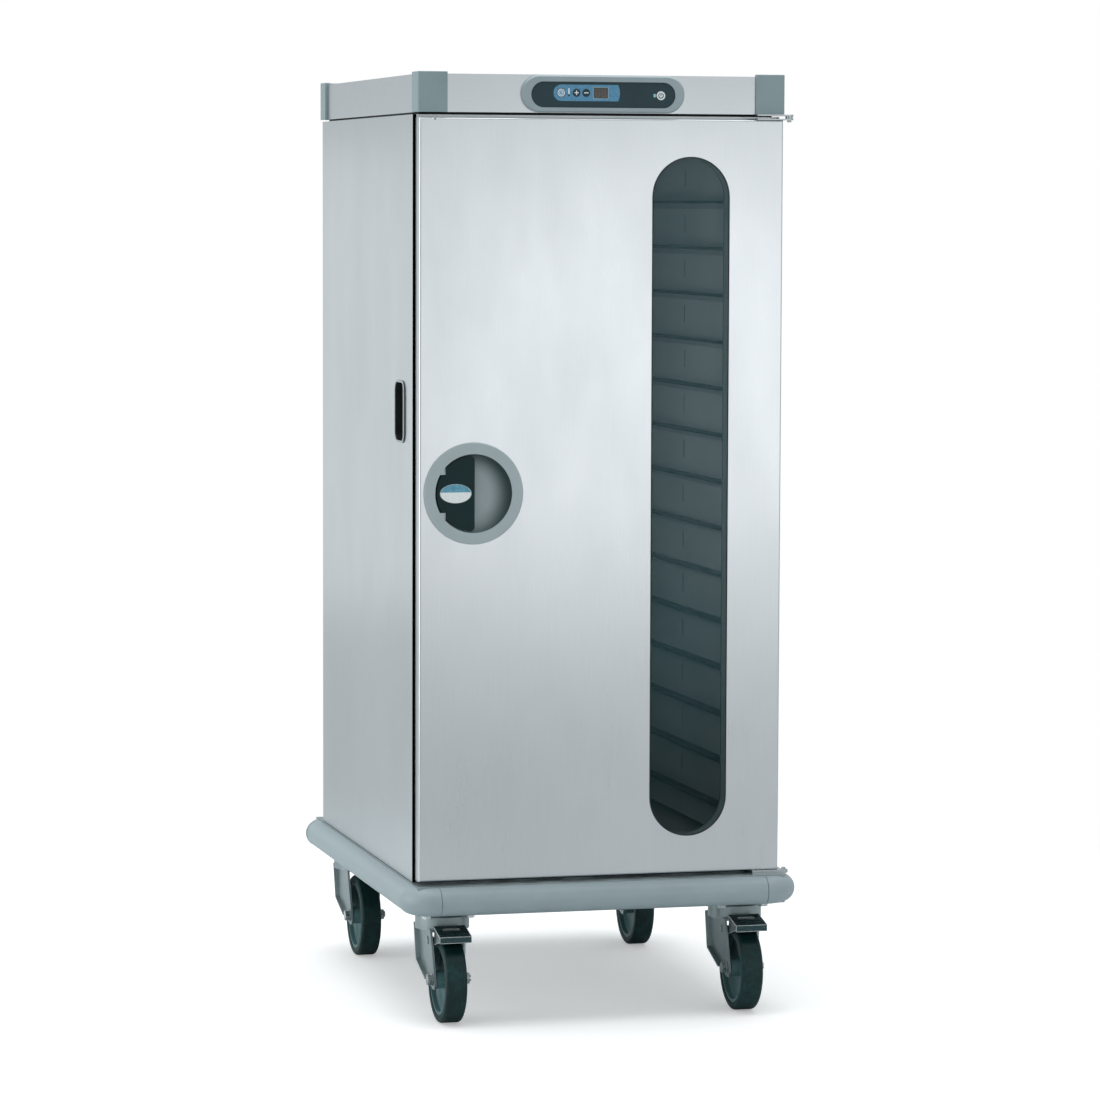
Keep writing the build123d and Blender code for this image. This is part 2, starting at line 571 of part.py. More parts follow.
def handle_cup():
    """A dished cup with a raised ring, and a pocket on its left for the paddle's tongue and pivot."""
    wall = 2.0
    depth = CUP_BOTTOM - DOOR_FRONT
    face = DOOR_FRONT - CUP_FRONT
    ring = rod_y(CUP_X, CUP_Z, CUP_RING_R, CUP_FRONT, DOOR_FRONT)
    ring = fillet(ring.edges().group_by(Axis.Y)[0], 2)
    left, right, back = -313.5, -284.0, PIVOT_Y + 7.5
    housing = block(left - wall, right, DOOR_FRONT, back + wall, CUP_Z - 46, CUP_Z + 46)
    housing &= rod_y(CUP_X, CUP_Z, CUP_HOLE_R - 1, DOOR_FRONT, back + wall)
    body = ring + dish(CUP_R + wall, depth, -1) + housing

    hollow = dish(CUP_R, depth - wall, -face - 1)
    post_left, post_right = -330, -293
    for side in (-1, 1):
        z0, z1 = sorted((CUP_Z + side * (TONGUE + 0.8), CUP_Z + side * 60))
        hollow -= block(post_left, post_right, CUP_FRONT - 5, back + 10, z0, z1)
    cup = body - hollow
    tongue = TONGUE + 0.8
    mouth = CUP_FRONT + 6.2
    cup -= block(left, right, mouth, back, CUP_Z - tongue, CUP_Z + tongue)
    cup -= rod_y(CUP_X, CUP_Z, CUP_R, CUP_FRONT - 1, mouth) & block(
        CUP_X - CUP_R, right, CUP_FRONT - 1, mouth, CUP_Z - tongue, CUP_Z + tongue)
    cup -= rod_z(PIVOT_X, PIVOT_Y, PIN_R, CUP_Z - 44, CUP_Z + 44)
    cup -= block(-314, -281, PIVOT_Y, CUP_BOTTOM + 3, CUP_Z - 10, CUP_Z + 10)
    corner = Polygon(
        (post_right, CUP_FRONT + 5), (post_right, CUP_FRONT - 1), (post_right - 5.28, CUP_FRONT - 1), align=None)
    relief = extrude(Pos(0, 0, CUP_Z) * corner, 60, both=True)
    cup -= relief & rod_y(CUP_X, CUP_Z, CUP_R + 0.2, CUP_FRONT - 2, CUP_FRONT + 6)
    save("handle_cup", cup)


def handle_paddle():
    """The plate that the fingers pull, with its barrel on the pivot pin and the latch hook behind it."""
    front, back = CUP_FRONT + 4, CUP_FRONT + 7
    edge = CUP_X + 2.6
    disc = Pos(CUP_X, CUP_Z) * Circle(CUP_R - 3.8)
    outline = disc & Pos(edge - 50, CUP_Z) * Rectangle(100, 2 * CUP_R)
    for side in (-1, 1):
        outline -= Pos(-292 - 50, CUP_Z + side * (TONGUE + 50)) * Rectangle(100, 100)
    plate = along_y(outline, front, back)
    corners = plate.edges().filter_by(Axis.Y).group_by(Axis.X)[-1]
    plate = fillet(corners, 7)
    bead = block(edge - 4, edge, back, back + 3, CUP_Z - 60, CUP_Z + 60)
    barrel = rod_z(PIVOT_X, PIVOT_Y, 5, CUP_Z - TONGUE + 1, CUP_Z + TONGUE - 1)
    barrel += block(PIVOT_X - 3, PIVOT_X + 3, back, PIVOT_Y, CUP_Z - TONGUE + 1, CUP_Z + TONGUE - 1)
    barrel -= block(-320, -295, back, PIVOT_Y + 6, CUP_Z - 6, CUP_Z + 6)
    paddle = plate + bead + barrel - rod_z(PIVOT_X, PIVOT_Y, PIN_R + RUN, CUP_Z - 40, CUP_Z + 40)
    save("handle_paddle", paddle)

    low, high = CUP_Z - 5, CUP_Z + 5
    hook = rod_z(PIVOT_X, PIVOT_Y, 4.6, low, high)
    hook += block(PIVOT_X - 3, PIVOT_X + 3, PIVOT_Y, -398, low, high)
    hook += block(PIVOT_X - 10, PIVOT_X + 3, -404.5, -398, low, high)
    hook -= rod_z(PIVOT_X, PIVOT_Y, PIN_R + 0.02, low, high)
    pin = rod_z(PIVOT_X, PIVOT_Y, PIN_R - RUN / 2, CUP_Z - 43, CUP_Z + 43)
    save("latch_hook", hook, pin)


# ---------------------------------------------------------------- hinges
def hinge_leaf(z0, z1, bore):
    """A flat leaf that reaches past the door's edge to the pivot."""
    leaf = block(HINGE_X - 63, HINGE_X, HINGE_Y - 8, HINGE_Y + 30, z0, z1) + rod_z(HINGE_X, HINGE_Y, 8, z0, z1)
    leaf -= block(HINGE_X - 2, HINGE_X + 10, HINGE_Y + 8, HINGE_Y + 31, z0 - 1, z1 + 1)
    return leaf - rod_z(HINGE_X, HINGE_Y, bore, z0 - 1, z1 + 1)


def hinges():
    leaf = 2.5
    top_plate = hinge_leaf(CAP_Z0 - leaf, CAP_Z0, HINGE_PIN_R)
    bottom_plate = hinge_leaf(TRAY_Z1, TRAY_Z1 + 2.2, HINGE_PIN_R)
    pins = [
        rod_z(HINGE_X, HINGE_Y, HINGE_PIN_R, DOOR_Z1 - 4, CAP_Z0),
        rod_z(HINGE_X, HINGE_Y, HINGE_PIN_R, TRAY_Z1 - 1.5, DOOR_Z0 + 4),
    ]
    washer = rod_z(HINGE_X, HINGE_Y, 7, DOOR_Z1 + leaf + 0.3, CAP_Z0 - leaf)
    washer -= rod_z(HINGE_X, HINGE_Y, HINGE_PIN_R, DOOR_Z1, CAP_Z0)
    save("hinge_plates", top_plate, bottom_plate, washer, *pins)
    bore = HINGE_PIN_R + RUN
    save("hinge_lugs", hinge_leaf(DOOR_Z1, DOOR_Z1 + leaf, bore), hinge_leaf(TRAY_Z1 + 2.6, DOOR_Z0, bore))


# ---------------------------------------------------------------- casters
def hexagon(across_flats):
    return RegularPolygon(across_flats / 2, 6, major_radius=False)


def caster_plates():
    solids = []
    for x, y in CASTERS.values():
        plate = along_z(Pos(x, y) * RectangleRounded(110, 135, 8), PLATE_Z0, PLATE_Z1)
        for bx in (-BOLT_DX, BOLT_DX):
            for by in (-BOLT_DY, BOLT_DY):
                plate -= rod_z(x + bx, y + by, 5.5, PLATE_Z0 - 1, PLATE_Z1 + 1)
        race = rod_z(x, y, 43, RACE_Z + 1, PLATE_Z0)
        race = chamfer(race.edges().group_by(Axis.Z)[0], 1.5)
        kingpin = rod_z(x, y, 8, CROWN_Z0 - 3.5, RACE_Z + 1) + rod_z(x, y, 13, CROWN_Z0 - 4, CROWN_Z0 - 1)
        solids += [plate + race + kingpin]
    save("caster_plates", *solids)


def caster_bolts():
    solids = []
    for x, y in CASTERS.values():
        for bx in (-BOLT_DX, BOLT_DX):
            for by in (-BOLT_DY, BOLT_DY):
                spot = Pos(x + bx, y + by)
                bolt = along_z(spot * hexagon(16), PLATE_Z0 - 6.5, PLATE_Z0)
                bolt += along_z(spot * Circle(5), PLATE_Z0, PLATE_Z1 + 14)
                nut = along_z(spot * (hexagon(16) - Circle(5)), PLATE_Z1 + 2, PLATE_Z1 + 10)
                solids += [bolt, nut]
    return solids


def fork_flange():
    """The strip along a leg's rear edge that is turned outwards to stiffen it."""
    return make_face(Polyline(
        (54, CROWN_Z1), (54, 102), (-14, 76.5), (-15.5, 80.5), (50, 105), (50, CROWN_Z1), close=True,
    ))


def fork(x, y):
    """Pressed fork: crown, bearing dish and two legs that taper to the axle."""
    axle_y, axle_z = -TRAIL, WHEEL_R
    profile = make_face(Polyline(
        (54, CROWN_Z1), (54, 102), (axle_y + 20, 72), (axle_y + 8, 62), (axle_y - 10, 62),
        (axle_y - 18, 74), (-54, 138), (-50, CROWN_Z1), close=True,
    ))
    leg = along_x(profile, 0, LEG_T)
    rounded = [edge for edge in leg.edges().filter_by(Axis.X) if edge.center().Z < CROWN_Z0 - 5]
    leg = fillet(rounded, 7) + along_x(fork_flange(), 0, 12)
    leg = Pos(LEG_IN, 0, axle_z) * Rot(0, LEG_LEAN, 0) * Pos(0, 0, -axle_z) * leg
    crown_half = LEG_IN + LEG_T + (CROWN_Z0 - axle_z) * math.tan(math.radians(LEG_LEAN))
    crown = block(-crown_half, crown_half, -50, 54, CROWN_Z0, CROWN_Z1)
    dish = rod_z(0, 0, HEAD_R, CROWN_Z1 - 3, RACE_Z)
    dish = fillet(dish.edges().group_by(Axis.Z)[-1], 3)
    body = crown + dish + leg + mirrored(leg)
    body -= rod_z(0, 0, 8 + RUN, 100, 250)
    body -= rod_z(0, 0, 14, CROWN_Z0 - 5, CROWN_Z0)
    body -= rod_x(axle_y, axle_z, AXLE_R + RUN, -50, 50)
    return Pos(x, y, 0) * body


def tyre(x, y):
    half = WHEEL_W / 2
    shoulder = 6.0
    ring = rod_x(y - TRAIL, WHEEL_R, WHEEL_R, x - half, x + half)
    ring = fillet(ring.edges(), shoulder)
    return ring - rod_x(y - TRAIL, WHEEL_R, CORE_R, x - half - 1, x + half + 1)


def wheel_core(x, y):
    """Rim with a web dished on both sides and a hub."""
    cy, rim_half = y - TRAIL, WHEEL_W / 2 - 1.5
    core = rod_x(cy, WHEEL_R, CORE_R - 0.05, x - rim_half, x + rim_half)
    for side in (-1, 1):
        dish = sorted((x + side * 5, x + side * (rim_half + 1)))
        cut = rod_x(cy, WHEEL_R, CORE_R - 6, *dish)
        core -= chamfer(cut.edges().group_by(Axis.X)[0 if side > 0 else -1], 5)
    hub_half = LEG_IN - 1.8
    core += rod_x(cy, WHEEL_R, 17, x - hub_half, x + hub_half)
    return core - rod_x(cy, WHEEL_R, AXLE_R + RUN, x - 30, x + 30)


def axle(x, y):
    """Axle bolt through both legs, its nut and two washers."""
    cy, outer = y - TRAIL, LEG_IN + LEG_T + 0.8
    head = along_x(Pos(cy, WHEEL_R) * hexagon(19), x - outer - 9.5, x - outer - 1.5)
    bolt = head + rod_x(cy, WHEEL_R, AXLE_R, x - outer - 2, x + outer + 14)
    nut = along_x(Pos(cy, WHEEL_R) * (hexagon(19) - Circle(AXLE_R)), x + outer + 1.5, x + outer + 11)
    washers = [
        along_x(Pos(cy, WHEEL_R) * (Circle(12) - Circle(AXLE_R + 0.1)), *span)
        for span in ((x - outer - 1.5, x - outer), (x + outer, x + outer + 1.5))
    ]
    return [bolt, nut, *washers]


def brake_pedal(x, y):
    """Folded tread plate with two side cheeks on pivot rivets, and the shoe under it."""
    pivot_y, pivot_z = PEDAL_PIVOT
    cheek_in, cheek_out, tread_half = 25.6, 27.6, 30.0
    back, front, back_z, front_z = -56.5, -112.0, 181.0, 169.0
    tread = make_face(Polyline(
        (back, back_z), (front, front_z), (front, front_z - 12), (front + 2, front_z - 12),
        (front + 2, front_z - 2.2), (back, back_z - 2.2), close=True,
    ))
    plate = along_x(tread, -tread_half, tread_half)
    tilt = math.degrees(math.atan2(back_z - front_z, back - front))
    slot = Pos(0, (back + front) / 2 + 8, (back_z + front_z) / 2) * Rot(tilt, 0, 0) * Box(30, 9, 14)
    side = make_face(Polyline(
        (pivot_y + 8, pivot_z - 7), (pivot_y + 8, pivot_z + 7), (back + 2, pivot_z + 10), (back, back_z - 2.1),
        (front + 2, front_z - 2.1), (front + 2, front_z - 9), (back, pivot_z - 4), close=True,
    ))
    cheek = along_x(side, cheek_in, cheek_out) - rod_x(pivot_y, pivot_z, 4 + RUN, 20, 40)
    pedal = plate + cheek + mirrored(cheek) - slot
    shoe = block(-16, 16, -80, -58, 167, 171)
    shoe += block(-14, 14, -78, -60, 170, 171.2)
    return [Pos(x, y, 0) * pedal, Pos(x, y, 0) * shoe]


def pedal_rivets():
    """Stub rivets inside the braked forks' legs that the pedal cheeks turn on."""
    pivot_y, pivot_z = PEDAL_PIVOT
    leg_face = LEG_IN + (pivot_z - WHEEL_R) * math.tan(math.radians(LEG_LEAN))
    rivet = rod_x(pivot_y, pivot_z, 4, 23.2, leg_face + 2) + rod_x(pivot_y, pivot_z, 7, 22.4, 23.8)
    rivet += rod_x(pivot_y, pivot_z, 7, leg_face + 3, leg_face + 6)
    return [rivet, mirrored(rivet)]


def casters():
    caster_plates()
    for name, (x, y) in CASTERS.items():
        frame = fork(x, y)
        if name in BRAKED:
            for rivet in pedal_rivets():
                frame += Pos(x, y, 0) * rivet
            save(f"brake_pedal_{name}", *brake_pedal(x, y))
        save(f"fork_{name}", frame)
        save(f"tyre_{name}", tyre(x, y))
        save(f"wheel_core_{name}", wheel_core(x, y))
        save(f"axle_{name}", *axle(x, y))


# ---------------------------------------------------------------- fasteners
def fasteners():
    """Caster bolts, and the pan-head screws of the rear cover, the rear panel and the strike plate."""
    solids = caster_bolts()
    for x in (-240, 240):
        for z in (655, 940, 1225):
            solids.append(rod_y(x, z, 4, 436, 438.2))
    for x in (-315, 315):
        for z in (330, 700, 1150, 1600):
            solids.append(rod_y(x, z, 4, BODY_BACK, BODY_BACK + 2.2))
    for z in (CUP_Z - 21, CUP_Z + 21):
        solids.append(rod_y(-314, z, 2.1, BODY_FRONT + 0.1, BODY_FRONT + SHEET))
    save("fasteners", *solids)


def main():
    os.makedirs("parts", exist_ok=True)
    base_frame()
    bumper_rails()
    bumper_corners()
    side_panels()
    rear_panel()
    inner_liner()
    insulation()
    front_frame()
    strike_plate()
    runner_panels()
    duct_panel()
    heating_unit()
    rear_cover()
    side_grips()
    top_deck()
    corner_caps()
    fascias()
    roof_panel()
    control_unit()
    door_skins()
    door_insulation()
    window()
    door_gasket()
    handle_cup()
    handle_paddle()
    hinges()
    casters()
    fasteners()


main()
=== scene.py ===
"""Looks of the insulated food carrier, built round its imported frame. Metres, +Z up, the door faces -Y."""

import math

import bmesh
import bpy
from mathutils import Matrix, Vector


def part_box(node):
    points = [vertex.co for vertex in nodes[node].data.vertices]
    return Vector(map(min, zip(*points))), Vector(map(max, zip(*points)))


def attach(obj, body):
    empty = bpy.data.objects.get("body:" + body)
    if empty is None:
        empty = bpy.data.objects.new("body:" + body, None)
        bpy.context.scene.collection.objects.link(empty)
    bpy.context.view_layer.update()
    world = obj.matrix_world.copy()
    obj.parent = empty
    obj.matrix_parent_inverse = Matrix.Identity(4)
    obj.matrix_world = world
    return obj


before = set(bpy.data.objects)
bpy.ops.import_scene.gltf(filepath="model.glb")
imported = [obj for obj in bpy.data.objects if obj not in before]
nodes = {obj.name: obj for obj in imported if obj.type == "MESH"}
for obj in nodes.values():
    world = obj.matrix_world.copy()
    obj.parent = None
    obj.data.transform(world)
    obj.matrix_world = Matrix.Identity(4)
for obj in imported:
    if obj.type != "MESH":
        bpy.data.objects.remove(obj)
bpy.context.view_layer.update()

MM = 0.001

# Room and floor. The camera sees white; all other rays see a grey room and plain paper.
ROOM_FRONT, ROOM_BACK = 0.5, 0.62  # strength in front of the object and behind it
ROOM_TURN = (-0.6, 0.9)            # it changes between these shares of the way from front to back
ROOM_TINT = (0.94, 1.0, 1.02, 1)
FLOOR_RADIUS = 1.9
FLOOR_SHIFT = 0.3                  # the floor's middle lies this far behind the object's
FLOOR_GLOW = 0.34                  # emission for the camera alone, until the paper is nearly white

# Soft boxes: name, place, target, size, watts, whether the gloss shows it.
SOFT_BOXES = (
    ("front_box", (1.4, -3.45, 1.12), (1.4, 0, 1.12), (2.5, 1.2), 9.0, True),
    ("left_box", (-3.6, 0, 1.0), (0, 0, 0.95), (2.5, 1.9), 36, True),
    ("side_box", (-1.2, 2.9, 1.05), (-0.4, 0, 1.05), (1.0, 1.2), 1.1, True),
    ("top_box", (0, 0.3, 4.2), (0, 0.3, 0), (4.5, 4.5), 115, True),
    ("cavity_box", (-0.2, -0.3, 1.12), (0.27, -0.1, 1.1), (0.15, 0.85), 1.2, False),
)

CAMERA_PLACE = (-2.0744, -8.1171, 1.5068)
CAMERA_TURN = (14.45, -4.589, 0.189)  # yaw, pitch and roll in degrees
CAMERA_LENS = 142.18

# Where one piece changes colour, in metres. A pair is the stretch over which it fades.
GAP_SHADE_WIDTH = 0.0066                # painted shade of the door gap: dark band on the front edge of the side panels, from their outside
GAP_SHADE_FADE = 0.0006
GAP_SHADE_DEPTH = (0.0006, 0.0002)      # behind the front edge, from plain to painted shade
LEDGES_TO_SHEET = (0.2706, 0.2722)  # from the cabinet's middle, from ledges darkened by painted shade to their pale panel
DISH_SHADE_SHIFT = (0.009, 0.003)        # from the cup's middle to the middle of the part free of painted shade, left and down
DISH_SHADE_RADIUS = (0.044, 0.082)       # from that middle, from no shade to full painted shade
DISH_SHADE_DEPTH = (0.0008, 0.003)       # behind the cup's front, from the ring, which has no painted shade, to the dish, which takes it
LIP_DEPTH = (0.0012, 0.0018)       # behind the window seal's front, from black lip to grey spacer
TOP_SHADE_DEPTH = (0.003, 0.001)      # below the wool's top, from plain wool to painted shade
RIM_DEPTH = (0.0008, 0.0015)       # inwards from the grip's outer face, from rim to cup

# Control panel prints, in millimetres.
INK = 0.1                          # thickness of a symbol
FACE_PROUD = 0.02                  # a button's foil stands this far off it
CROSSED_LIFT = 0.01                # the second bar of the plus lies over the first
PRINT_EDGE = 0.00003               # edge rounding of symbols, in metres
FOIL = (-94.0, 29.0, 1688.5, 1718.2)  # left, right, low, high, as for the display and the lamp
FOIL_MIDDLE = (FOIL[2] + FOIL[3]) / 2
FOIL_END, FOIL_END_INSET, FOIL_END_TURN = 36, 34, 24.4  # the foil's right end is a shallow arc
FOIL_HOLES = (("timer", 7.9), ("plus", 7.3), ("minus", 7.3))
DISPLAY = (-18.7, 8.6, 1693.6, 1713.3)
DIGITS = (-10.6, 0.6)
STROKE, LEVEL_STROKE, UPRIGHT_STROKE = 1.3, 5, 4.6
DIGIT_HALF = (3.3, 6)
THERMOMETER = (-65.0, 1703.5)
LAMP = (94.4, 99.4, 1696.4, 1702.8)

# Badge on the paddle, in millimetres.
BADGE_X = -275.0
BADGE_HALF, BADGE_FLAT = 29.5, 17.5 / 29.5
BADGE_RIM = 1.0
BADGE_SPLIT = 8                    # degrees by which the blue part ends above the middle


# ---------------------------------------------------------------- material helpers
class Look:
    """One node-based material: a Principled shader and short calls that add nodes to it."""

    def __init__(self, name, **constants):
        self.material = bpy.data.materials.new(name)
        self.material.use_nodes = True
        self.tree = self.material.node_tree
        self.shader = self.tree.nodes["Principled BSDF"]
        self.place = self.add("ShaderNodeTexCoord").outputs["Object"]
        for socket, value in constants.items():
            self.shader.inputs[socket.replace("_", " ")].default_value = value

    def add(self, kind, **settings):
        made = self.tree.nodes.new(kind)
        for key, value in settings.items():
            setattr(made, key, value)
        return made

    def feed(self, socket, value):
        """Links an output to an input socket, or sets the socket's own value."""
        if isinstance(value, bpy.types.NodeSocket):
            self.tree.links.new(value, socket)
        else:
            socket.default_value = value

    def stretched(self, scale):
        mapping = self.add("ShaderNodeMapping")
        self.feed(mapping.inputs["Vector"], self.place)
        mapping.inputs["Scale"].default_value = scale
        return mapping.outputs["Vector"]

    def noise(self, scale, detail=3.0, rough=0.5, stretch=(1, 1, 1)):
        made = self.add("ShaderNodeTexNoise")
        self.feed(made.inputs["Vector"], self.stretched(stretch))
        made.inputs["Scale"].default_value = scale
        made.inputs["Detail"].default_value = detail
        made.inputs["Roughness"].default_value = rough
        return made.outputs["Fac"]

    def cells(self, scale, stretch=(1, 1, 1)):
        made = self.add("ShaderNodeTexVoronoi")
        self.feed(made.inputs["Vector"], self.stretched(stretch))
        made.inputs["Scale"].default_value = scale
        return made.outputs["Distance"]

    def span(self, value, low, high, to_low=0.0, to_high=1.0):
        """Maps low to high onto another range, smoothly and clamped."""
        made = self.add("ShaderNodeMapRange", interpolation_type="SMOOTHSTEP")
        for socket, number in zip(made.inputs, (value, low, high, to_low, to_high)):
            self.feed(socket, number)
        return made.outputs["Result"]

    def math(self, operation, a, b=0.0):
        made = self.add("ShaderNodeMath", operation=operation)
        self.feed(made.inputs[0], a)
        self.feed(made.inputs[1], b)
        return made.outputs[0]

    def mixed(self, first, share, second, other):
        """Two patterns added, each with its share."""
        return self.math("ADD", self.math("MULTIPLY", first, share), self.math("MULTIPLY", second, other))

    def axis(self, name):
        """One coordinate of the place on the object, in metres."""
        split = self.add("ShaderNodeSeparateXYZ")
        self.feed(split.inputs[0], self.place)
        return split.outputs[name]

    def behind(self, front, depths):
        """0 to 1 between two depths behind a front face."""
        return self.span(self.axis("Y"), front + depths[0], front + depths[1])

    def blend(self, amount, low, high):
        """A colour between two, by an amount from 0 to 1."""
        made = self.add("ShaderNodeMix", data_type="RGBA")
        self.feed(made.inputs["Factor"], amount)
        self.feed(made.inputs["A"], low)
        self.feed(made.inputs["B"], high)
        return made.outputs["Result"]

    def edges(self, radius):
        """1 on convex and concave edges, 0 on flat faces."""
        bevel = self.add("ShaderNodeBevel", samples=4)
        bevel.inputs["Radius"].default_value = radius
        flat = self.add("ShaderNodeNewGeometry").outputs["Normal"]
        dot = self.add("ShaderNodeVectorMath", operation="DOT_PRODUCT")
        self.feed(dot.inputs[0], bevel.outputs["Normal"])
        self.feed(dot.inputs[1], flat)
        return self.span(dot.outputs["Value"], 0.999, 0.93)

    def colour(self, value):
        self.feed(self.shader.inputs["Base Color"], value)

    def rough(self, value):
        self.feed(self.shader.inputs["Roughness"], value)

    def bump(self, height, depth, strength=1.0):
        """Relief of that many metres."""
        made = self.add("ShaderNodeBump")
        made.inputs["Strength"].default_value = strength
        made.inputs["Distance"].default_value = depth
        self.feed(made.inputs["Height"], height)
        self.feed(self.shader.inputs["Normal"], made.outputs["Normal"])


def rgb(code):
    """A linear colour from six hex digits of screen colour."""
    def linear(byte):
        value = byte / 255
        return value / 12.92 if value <= 0.04045 else ((value + 0.055) / 1.055) ** 2.4
    return (*[linear(int(code[i:i + 2], 16)) for i in (0, 2, 4)], 1.0)


def paler(colour, gain=1.5):
    return (*[min(1.0, part * gain) for part in colour[:3]], 1.0)


# ---------------------------------------------------------------- materials
def stainless(name, light, dark, grain=(1.0, 1.0, 0.012), rough=(0.27, 0.32), metallic=1.0, gap_shade=False):
    """Satin stainless sheet: grain, cloudy polish, wipe marks and, if asked, a dark front edge of painted
    shade where the door gap lies in shadow.
    """
    look = Look(name, Metallic=metallic)
    strokes = look.noise(1500, 2, 0.5, grain)
    clouds = look.noise(2.2, 3, 0.55)
    wipes = look.noise(9, 4, 0.6, (1.0, 1.0, 0.35))
    tone = look.mixed(strokes, 0.35, clouds, 0.65)
    sheet = look.blend(look.span(tone, 0.3, 0.7), rgb(dark), rgb(light))
    if gap_shade:
        # Painted shade: the side panels' front edge turns dark where the door gap lies in shadow.
        lo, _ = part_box("side_panel_left")
        ahead = look.behind(lo.y, GAP_SHADE_DEPTH)
        band_end = -lo.x - GAP_SHADE_WIDTH
        outer = look.span(look.math("ABSOLUTE", look.axis("X")), band_end - GAP_SHADE_FADE, band_end)
        sheet = look.blend(look.math("MULTIPLY", ahead, outer), sheet, rgb("060a0b"))
    look.colour(sheet)
    worn = look.mixed(strokes, 0.3, wipes, 0.7)
    look.rough(look.span(worn, 0.3, 0.7, *rough))
    look.bump(strokes, 0.00002, 0.15)
    return look.material


def moulded(name, light, dark, rough=(0.38, 0.5), grain=1400, shine=0.5):
    """Moulded plastic with a fine spark-eroded texture, slightly paler rubbed edges."""
    look = Look(name, Specular_IOR_Level=shine)
    texture = look.cells(grain)
    clouds = look.noise(14, 4, 0.6)
    tone = look.mixed(texture, 0.35, clouds, 0.75)
    body = look.blend(look.span(tone, 0.25, 0.8), rgb(dark), rgb(light))
    rubbed = look.math("MULTIPLY", look.edges(0.0012), look.span(look.noise(60, 3), 0.4, 0.7, 0.1, 0.5))
    look.colour(look.blend(rubbed, body, paler(rgb(light))))
    look.rough(look.span(clouds, 0.3, 0.7, *rough))
    look.bump(texture, 0.00008, 0.4)
    return look.material


def cup_look():
    """Handle cup: pale ring, and a dish with painted shade that darkens it towards its far wall."""
    look = Look("cup_moulding")
    lo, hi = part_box("handle_cup")
    across = look.math("SUBTRACT", look.axis("X"), (lo.x + hi.x) / 2 - DISH_SHADE_SHIFT[0])
    up = look.math("SUBTRACT", look.axis("Z"), (lo.z + hi.z) / 2 - DISH_SHADE_SHIFT[1])
    radius = look.math("SQRT", look.mixed(across, across, up, up))
    wall_shade = look.span(radius, *DISH_SHADE_RADIUS)
    inside = look.behind(lo.y, DISH_SHADE_DEPTH)
    texture = look.cells(1400)
    clouds = look.noise(14, 4, 0.6)
    tone = look.span(look.mixed(texture, 0.35, clouds, 0.75), 0.25, 0.8)
    pale = look.blend(tone, rgb("a9b6b9"), rgb("b6c3c6"))
    # Painted shade: the dish darkens towards its far wall.
    look.colour(look.blend(look.math("MULTIPLY", wall_shade, inside), pale, rgb("2b4042")))
    look.rough(look.span(clouds, 0.3, 0.7, 0.42, 0.55))
    look.bump(texture, 0.00008, 0.4)
    return look.material


def ledge_look():
    """Runner panels: satin sheet behind, with ledges standing off it that are darkened by painted shade."""
    look = Look("runner_steel", Metallic=0.3)
    sheet = look.span(look.math("ABSOLUTE", look.axis("X")), *LEDGES_TO_SHEET)
    strokes = look.noise(1500, 2, 0.5, (1, 0.02, 1))
    clouds = look.noise(5, 4, 0.6)
    tone = look.span(look.mixed(strokes, 0.3, clouds, 0.7), 0.3, 0.7)
    plain = look.blend(tone, rgb("aab6b8"), rgb("c0cacc"))
    # Painted shade: the ledges are dark against the pale sheet behind them.
    ledge_shade = look.blend(tone, rgb("141f20"), rgb("223032"))
    look.colour(look.blend(sheet, ledge_shade, plain))
    look.rough(look.span(clouds, 0.3, 0.7, 0.36, 0.5))
    look.bump(strokes, 0.00002, 0.15)
    return look.material


def zinc(name, light, dark, metallic=0.75, rough=(0.3, 0.5)):
    """Zinc-plated pressed steel: soft spangle, dull patches, bright edges."""
    look = Look(name, Metallic=metallic)
    spangle = look.cells(650)
    patches = look.noise(22, 4, 0.5)
    tone = look.mixed(spangle, 0.15, patches, 0.9)
    body = look.blend(look.span(tone, 0.3, 0.8), rgb(dark), rgb(light))
    look.colour(look.blend(look.math("MULTIPLY", look.edges(0.0008), 0.5), body, rgb("dfe3e4")))
    look.rough(look.span(patches, 0.3, 0.7, *rough))
    look.bump(patches, 0.0001, 0.15)
    return look.material


def painted_glint_tread():
    """Brake tread: plated steel, painted dark as a reflection of the shade under the bumper, with a painted
    highlight along its edges and bright scratches.
    """
    look = Look("brake_plate", Metallic=0.45)
    scratches = look.noise(260, 3, 0.6, (0.15, 1.0, 1.0))
    # Painted highlight along the edges, mixed with bright scratches; the dark base colour is a painted
    # reflection of the shade under the bumper.
    edge = look.math("MAXIMUM", look.edges(0.0022), look.span(scratches, 0.66, 0.75, 0.0, 0.35))
    look.colour(look.blend(edge, rgb("2c4548"), rgb("f6f8f8")))
    look.rough(look.span(scratches, 0.3, 0.7, 0.16, 0.34))
    look.bump(scratches, 0.00006, 0.3)
    return look.material


def bright(name, tint="d4d8da"):
    """Bright plated fasteners and axles with fine turning marks."""
    look = Look(name, Metallic=1.0)
    marks = look.noise(700, 2, 0.5, (0.2, 1, 1))
    stains = look.noise(60, 4, 0.6)
    look.colour(look.blend(look.span(stains, 0.35, 0.75), rgb(tint), rgb("a3a9ab")))
    look.rough(look.span(marks, 0.3, 0.7, 0.14, 0.3))
    look.bump(marks, 0.00004, 0.3)
    return look.material


def rubber():
    """Black rubber with a little dust in its pores."""
    look = Look("seal_rubber")
    pores = look.cells(900)
    dust = look.noise(45, 5, 0.65)
    look.colour(look.blend(look.span(dust, 0.35, 0.8), rgb("0c1011"), rgb("1a2123")))
    look.rough(look.span(dust, 0.3, 0.7, 0.55, 0.75))
    look.bump(pores, 0.00008, 0.35)
    return look.material


